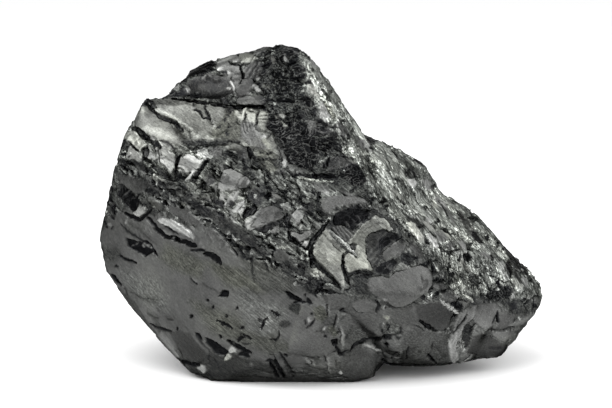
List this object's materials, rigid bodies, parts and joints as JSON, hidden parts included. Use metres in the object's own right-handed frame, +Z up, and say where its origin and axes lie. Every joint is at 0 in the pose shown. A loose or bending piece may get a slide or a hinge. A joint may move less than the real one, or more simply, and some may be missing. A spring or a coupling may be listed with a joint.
{
  "type": "lump of coal",
  "caption": "Hand-sized lump of anthracite coal with flat, stepped and shell-shaped fracture faces and a small flat spot to rest on.",
  "frame": {"origin": "centre of the lump's bounding box, on the surface that it rests on", "axes": "+Z up; +X along the length, towards the low tip on the right of the front; +Y away from the front, towards the back"},
  "size_m": [0.109, 0.074, 0.078],
  "materials": {
    "coal": "glossy black anthracite with a half-metallic lustre, smooth on the big faces and grained on the right"
  },
  "bodies": {
    "root": {"coal_lump": "coal"}
  },
  "joints": []
}
